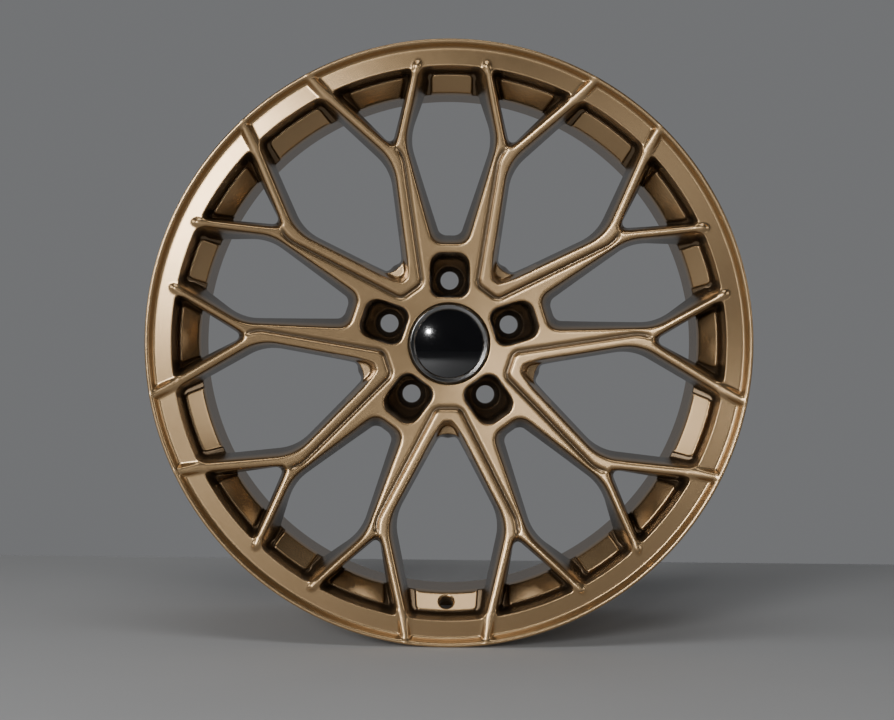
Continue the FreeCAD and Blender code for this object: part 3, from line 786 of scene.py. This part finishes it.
def mirrored_normals(field, points):
    """Normals from the field, lying in the mirror planes for the points on them."""
    normals = field.slopes(points)
    normals[np.abs(points[:, 0]) < 1e-3, 0] = 0.0
    way = np.array([math.cos(HALF_TURN), -math.sin(HALF_TURN), 0.0])
    on_plane = np.abs(points @ way) < 1e-3
    normals[on_plane] -= np.outer(normals[on_plane] @ way, way)
    return normals / np.linalg.norm(normals, axis=1)[:, None]


def turned_patch(corners, closed, sides=480, painted_shade=0.0):
    """Surface of revolution about the wheel's axis; the outline's corners run clockwise. Every point
    gets the same painted shade share.
    """
    shortest_flat, edge_band = 0.6, 0.12
    line = rounded_outline(corners)
    if closed:
        line.append(line[0])
    fine = []
    for here, after in zip(line, line[1:]):
        fine.append(here)
        run = after - here
        # A narrow band at each end keeps the shading of the flat between them level.
        if run.length > shortest_flat:
            fine.append(here + run.normalized() * edge_band)
            fine.append(after - run.normalized() * edge_band)
    fine.append(line[-1])
    profile = np.array([spot[:] for spot in fine])
    runs = np.diff(profile, axis=0)
    flat = np.stack([-runs[:, 1], runs[:, 0]], axis=1)
    flat /= np.linalg.norm(flat, axis=1)[:, None]
    before = np.vstack([flat[-1:] if closed else flat[:1], flat])
    after = np.vstack([flat, flat[:1] if closed else flat[-1:]])
    ways = before + after
    ways /= np.linalg.norm(ways, axis=1)[:, None]
    angles = 2 * math.pi * np.arange(sides) / sides
    sine, cosine = np.sin(angles)[:, None], np.cos(angles)[:, None]
    level = np.ones((sides, 1))
    points = np.stack([sine * profile[:, 0], cosine * profile[:, 0], level * profile[:, 1]], axis=2)
    normals = np.stack([sine * ways[:, 0], cosine * ways[:, 0], level * ways[:, 1]], axis=2)
    rows = len(profile)
    here = np.arange(sides)[:, None] * rows + np.arange(rows - 1)[None, :]
    beside = (here + rows) % (sides * rows)
    quads = np.stack([here, beside, beside + 1, here + 1], axis=2).reshape(-1, 4)
    counts = np.full(len(quads), 4)
    return Patch(points.reshape(-1, 3), normals.reshape(-1, 3), np.full(sides * rows, painted_shade),
                 quads.ravel(), counts)


def build_forging(paint):
    """Hub, ring, ten spokes and barrel, laid out from one half repeat."""
    parts = trimmed_half_repeat(whole_field())
    wall_with_valve = trimmed_half_repeat(valve_field())["wall"]
    copies = range(2 * PAIRS)
    hub = joined([parts["hub"].laid(number) for number in copies])
    add_piece("forged_hub", hub, paint, "wheel", ["hub"])
    ring = joined([parts["ring"].laid(number) for number in copies])
    add_piece("forged_outer_ring", ring, paint, "wheel", ["outer_ring"])
    for number in copies:
        stem = number + 1
        nodes = ["stem_%02d" % stem, "arm_%02d" % (2 * stem - 1), "arm_%02d" % (2 * stem)]
        add_piece("forged_spoke_%02d" % stem, parts["spoke"].laid(number), paint,
                  "wheel", nodes)
    walls = []
    for number in copies:
        wall = wall_with_valve if number in VALVE_COPIES else parts["wall"]
        walls.append(wall.laid(number))
    # The barrel's inside gets an even painted shade.
    barrel = joined(walls + [turned_patch(BARREL, closed=False, painted_shade=BARREL_SHADE)])
    add_piece("turned_barrel", barrel, paint, "wheel", ["barrel"])


# ------------------------------------------------------------------ materials

class Recipe:
    """A Principled material being made, with short ways to add nodes."""

    def __init__(self, name, **values):
        self.material = bpy.data.materials.new(name)
        self.material.use_nodes = True
        self.nodes = self.material.node_tree.nodes
        self.links = self.material.node_tree.links
        self.shader = self.nodes["Principled BSDF"]
        for key, value in values.items():
            self.shader.inputs[key.replace("_", " ")].default_value = value
        self.place = self.nodes.new("ShaderNodeTexCoord").outputs["Object"]

    def noise(self, per_mm, detail=2.0):
        node = self.nodes.new("ShaderNodeTexNoise")
        node.inputs["Scale"].default_value = per_mm / MM
        node.inputs["Detail"].default_value = detail
        self.links.new(self.place, node.inputs["Vector"])
        return node.outputs["Fac"]

    def flakes(self, per_mm):
        node = self.nodes.new("ShaderNodeTexVoronoi")
        node.inputs["Scale"].default_value = per_mm / MM
        self.links.new(self.place, node.inputs["Vector"])
        return node.outputs["Color"]

    def attribute(self, name):
        node = self.nodes.new("ShaderNodeAttribute")
        node.attribute_name = name
        return node.outputs["Fac"]

    def ranged(self, value, low, high, start=0.0, end=1.0):
        node = self.nodes.new("ShaderNodeMapRange")
        keys = ("From Min", "From Max", "To Min", "To Max")
        for key, number in zip(keys, (start, end, low, high)):
            node.inputs[key].default_value = number
        self.links.new(value, node.inputs["Value"])
        return node.outputs["Result"]

    def mixed(self, share, first, second):
        node = self.nodes.new("ShaderNodeMix")
        node.data_type = "RGBA"
        self.links.new(share, node.inputs["Factor"])
        for socket, colour in ((node.inputs["A"], first), (node.inputs["B"], second)):
            if isinstance(colour, tuple):
                socket.default_value = colour + (1.0,)
            else:
                self.links.new(colour, socket)
        return node.outputs["Result"]

    def bump(self, height, depth_mm, below=None):
        node = self.nodes.new("ShaderNodeBump")
        node.inputs["Distance"].default_value = depth_mm * MM
        self.links.new(height, node.inputs["Height"])
        if below is not None:
            self.links.new(below, node.inputs["Normal"])
        return node.outputs["Normal"]

    def into(self, key, output):
        self.links.new(output, self.shader.inputs[key])


def bronze_paint():
    """Satin metallic paint: fine flakes, a little orange peel, and painted shade that darkens it in
    recesses.
    """
    recipe = Recipe("bronze_paint", Metallic=0.88, Coat_Weight=0.22, Coat_Roughness=0.22)
    broad = recipe.noise(0.03, detail=3.0)
    flakes = recipe.flakes(2.2)
    drift = recipe.ranged(broad, 0.0, 1.0, 0.3, 0.7)
    tone = recipe.mixed(drift, (0.46, 0.305, 0.155), (0.49, 0.327, 0.167))
    sparkle = recipe.mixed(flakes, (0.41, 0.270, 0.135), (0.57, 0.385, 0.205))
    share = recipe.ranged(recipe.noise(0.8), 0.25, 0.45)
    open_paint = recipe.mixed(share, tone, sparkle)
    painted_shade = recipe.attribute("painted_shade")
    # Painted shade: the share stored on the mesh darkens the paint towards this dark brown in grooves,
    # pockets, beside the pads and inside the barrel.
    recipe.into("Base Color", recipe.mixed(painted_shade, open_paint, (0.125, 0.092, 0.060)))
    recipe.into("Roughness", recipe.ranged(recipe.noise(0.12, detail=4.0), 0.255, 0.27, 0.3, 0.7))
    peel = recipe.bump(recipe.noise(0.55, detail=1.0), 0.004)
    grain = recipe.bump(flakes, 0.0025, peel)
    recipe.into("Normal", grain)
    return recipe.material


def dark_chrome():
    recipe = Recipe("dark_chrome_finish", Metallic=1.0)
    tone = recipe.mixed(recipe.noise(0.08), (0.17, 0.168, 0.165), (0.23, 0.228, 0.225))
    recipe.into("Base Color", tone)
    recipe.into("Roughness", recipe.ranged(recipe.noise(0.9, detail=4.0), 0.12, 0.2, 0.3, 0.7))
    recipe.into("Normal", recipe.bump(recipe.noise(0.4), 0.004))
    return recipe.material


def gloss_black():
    recipe = Recipe("gloss_black_lacquer", Coat_Weight=1.0, Coat_Roughness=0.03)
    tone = recipe.mixed(recipe.noise(0.05), (0.004, 0.004, 0.005), (0.007, 0.007, 0.008))
    recipe.into("Base Color", tone)
    recipe.into("Roughness", recipe.ranged(recipe.noise(0.7, detail=4.0), 0.04, 0.08, 0.3, 0.7))
    recipe.into("Normal", recipe.bump(recipe.noise(0.12), 0.003))
    return recipe.material


def moulded_plastic():
    recipe = Recipe("moulded_black_plastic", Specular_IOR_Level=0.4)
    tone = recipe.mixed(recipe.noise(0.2), (0.018, 0.018, 0.019), (0.03, 0.03, 0.031))
    recipe.into("Base Color", tone)
    recipe.into("Roughness", recipe.ranged(recipe.noise(1.2, detail=4.0), 0.45, 0.65, 0.3, 0.7))
    recipe.into("Normal", recipe.bump(recipe.noise(2.0, detail=4.0), 0.03))
    return recipe.material


def spring_steel():
    recipe = Recipe("drawn_spring_steel", Metallic=1.0)
    recipe.into("Base Color", recipe.mixed(recipe.noise(0.5), (0.42, 0.42, 0.43), (0.55, 0.55, 0.56)))
    recipe.into("Roughness", recipe.ranged(recipe.noise(1.5, detail=4.0), 0.22, 0.38, 0.3, 0.7))
    recipe.into("Normal", recipe.bump(recipe.noise(1.5, detail=3.0), 0.01))
    return recipe.material


def pale_floor():
    recipe = Recipe("pale_floor")
    tone = recipe.mixed(recipe.noise(0.004), (0.50, 0.505, 0.51), (0.55, 0.555, 0.56))
    recipe.into("Base Color", tone)
    recipe.into("Roughness", recipe.ranged(recipe.noise(0.01), 0.6, 0.75))
    return recipe.material


# ------------------------------------------------------------------ cap, floor, light, camera

CAP_PLATE = 91.4         # front of the cap's body
TRIM = [(29.6, CAP_PLATE, 0.0), (29.6, 94.2, 0.3), (30.6, 95.2, 0.5), (33.4, 95.6, 0.9),
        (34.8, 94.0, 0.9), (34.8, CAP_PLATE, 0.2)]
BADGE_CROWN = 95.4
BADGE_EDGE = 93.8
BADGE_BACK = 91.45
BADGE_RADIUS = 29.55
BADGE_CENTRE = 0.02      # a tiny hole in the middle keeps every face four-sided
BADGE_STEPS = 40
WIRE_RING_RADIUS = 25.9
WIRE_RADIUS = 0.7
WIRE_HEIGHT = 78.0
WIRE_SIDES = 24
FLOOR_LEFT, FLOOR_RIGHT, FLOOR_FRONT, FLOOR_BACK = -3.5, 3.5, -4.0, 0.45

# Name, place and size in metres, power in watts; all point at the wheel's middle.
LIGHTS = [
    ("key", (-0.78, -2.1, 0.45), (0.6, 0.6), 20),
    ("near_axis", (-0.30, -2.1, 0.16), (0.04, 0.04), 2.6),
    ("low_right", (0.95, -2.0, -0.35), (0.4, 0.4), 3.0),
    ("high_right", (0.6, -2.0, 0.5), (0.6, 0.6), 0.7),
    ("left", (-2.3, -1.0, 0.7), (0.9, 1.2), 11),
    ("right", (2.4, -1.0, 0.5), (0.9, 1.2), 6),
    ("top", (0.0, -1.1, 2.0), (1.6, 0.6), 8),
]


def build_cap():
    """Trim ring, domed badge and spring wire; the cap's body stays as the CAD made it."""
    trim = turned_patch(TRIM, closed=True, sides=240)
    add_piece("trim_ring", trim, dark_chrome(), "centre_cap", ["cap_trim_ring"])
    rise = BADGE_CROWN - BADGE_EDGE
    dome = (BADGE_RADIUS ** 2 + rise ** 2) / (2 * rise)
    span = BADGE_RADIUS - BADGE_CENTRE
    radii = [BADGE_CENTRE + span * k / BADGE_STEPS for k in range(BADGE_STEPS + 1)]
    face = [(r, BADGE_CROWN - dome + math.sqrt(dome ** 2 - r ** 2), 0.0) for r in radii]
    back = [(BADGE_RADIUS, BADGE_BACK, 0.0), (BADGE_CENTRE, BADGE_BACK, 0.0)]
    badge = turned_patch(face + back, closed=True, sides=240)
    add_piece("domed_badge", badge, gloss_black(), "centre_cap", ["cap_badge"])
    angles = [2 * math.pi * k / WIRE_SIDES for k in range(WIRE_SIDES)]
    ring = [(WIRE_RING_RADIUS + WIRE_RADIUS * math.cos(a), WIRE_HEIGHT - WIRE_RADIUS * math.sin(a), 0.0)
            for a in angles]
    wire = turned_patch(ring, closed=True, sides=160)
    add_piece("spring_wire", wire, spring_steel(), "centre_cap", ["cap_spring_wire"])
    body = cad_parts["cap_body"].data
    body.materials.clear()
    body.materials.append(moulded_plastic())


def build_floor():
    """Pale floor that ends a little behind the wheel."""
    low = CAD_BOX[0].z
    corners = [(FLOOR_LEFT, FLOOR_FRONT, low), (FLOOR_RIGHT, FLOOR_FRONT, low),
               (FLOOR_RIGHT, FLOOR_BACK, low), (FLOOR_LEFT, FLOOR_BACK, low)]
    mesh = bpy.data.meshes.new("floor")
    mesh.from_pydata(corners, [], [(0, 1, 2, 3)])
    mesh.materials.append(pale_floor())
    floor = bpy.data.objects.new("floor", mesh)
    bpy.context.scene.collection.objects.link(floor)


def add_light(name, place, size, power):
    light = bpy.data.lights.new(name, "AREA")
    light.shape = "ELLIPSE"
    light.size, light.size_y = size
    light.energy = power
    lamp = bpy.data.objects.new(name, light)
    lamp.location = place
    lamp.rotation_euler = (-Vector(place)).to_track_quat("-Z", "Y").to_euler()
    bpy.context.scene.collection.objects.link(lamp)


def build_light():
    """A dim room with a paler far side, lit by soft lamps in front of the wheel."""
    world = bpy.data.worlds.new("studio")
    world.use_nodes = True
    nodes, links = world.node_tree.nodes, world.node_tree.links
    place = nodes.new("ShaderNodeTexCoord")
    parts = nodes.new("ShaderNodeSeparateXYZ")
    links.new(place.outputs["Generated"], parts.inputs["Vector"])
    depth = nodes.new("ShaderNodeMapRange")
    depth.interpolation_type = "SMOOTHSTEP"
    depth.inputs["From Min"].default_value = -0.1
    depth.inputs["From Max"].default_value = 0.45
    depth.inputs["To Min"].default_value = 0.02
    depth.inputs["To Max"].default_value = 0.17
    links.new(parts.outputs["Y"], depth.inputs["Value"])
    nodes["Background"].inputs["Color"].default_value = (1.0, 1.02, 1.05, 1.0)
    links.new(depth.outputs["Result"], nodes["Background"].inputs["Strength"])
    bpy.context.scene.world = world
    for name, place, size, power in LIGHTS:
        add_light(name, place, size, power)


def build_camera():
    """A camera straight in front of the wheel, turned a little about its own axis."""
    camera = bpy.data.cameras.new("camera")
    camera.sensor_width = 36.0
    camera.lens = 70.5
    eye = bpy.data.objects.new("camera", camera)
    place = Vector((-0.004, -1.619, 0.014))
    target = Vector((-0.00162, -0.12, -0.01375))
    roll = Quaternion((0.0, 0.0, 1.0), math.radians(0.62))
    eye.rotation_mode = "QUATERNION"
    eye.rotation_quaternion = (target - place).to_track_quat("-Z", "Y") @ roll
    eye.location = place
    bpy.context.scene.collection.objects.link(eye)
    bpy.context.scene.camera = eye


build_camera()
build_light()
build_floor()
build_forging(bronze_paint())
build_cap()
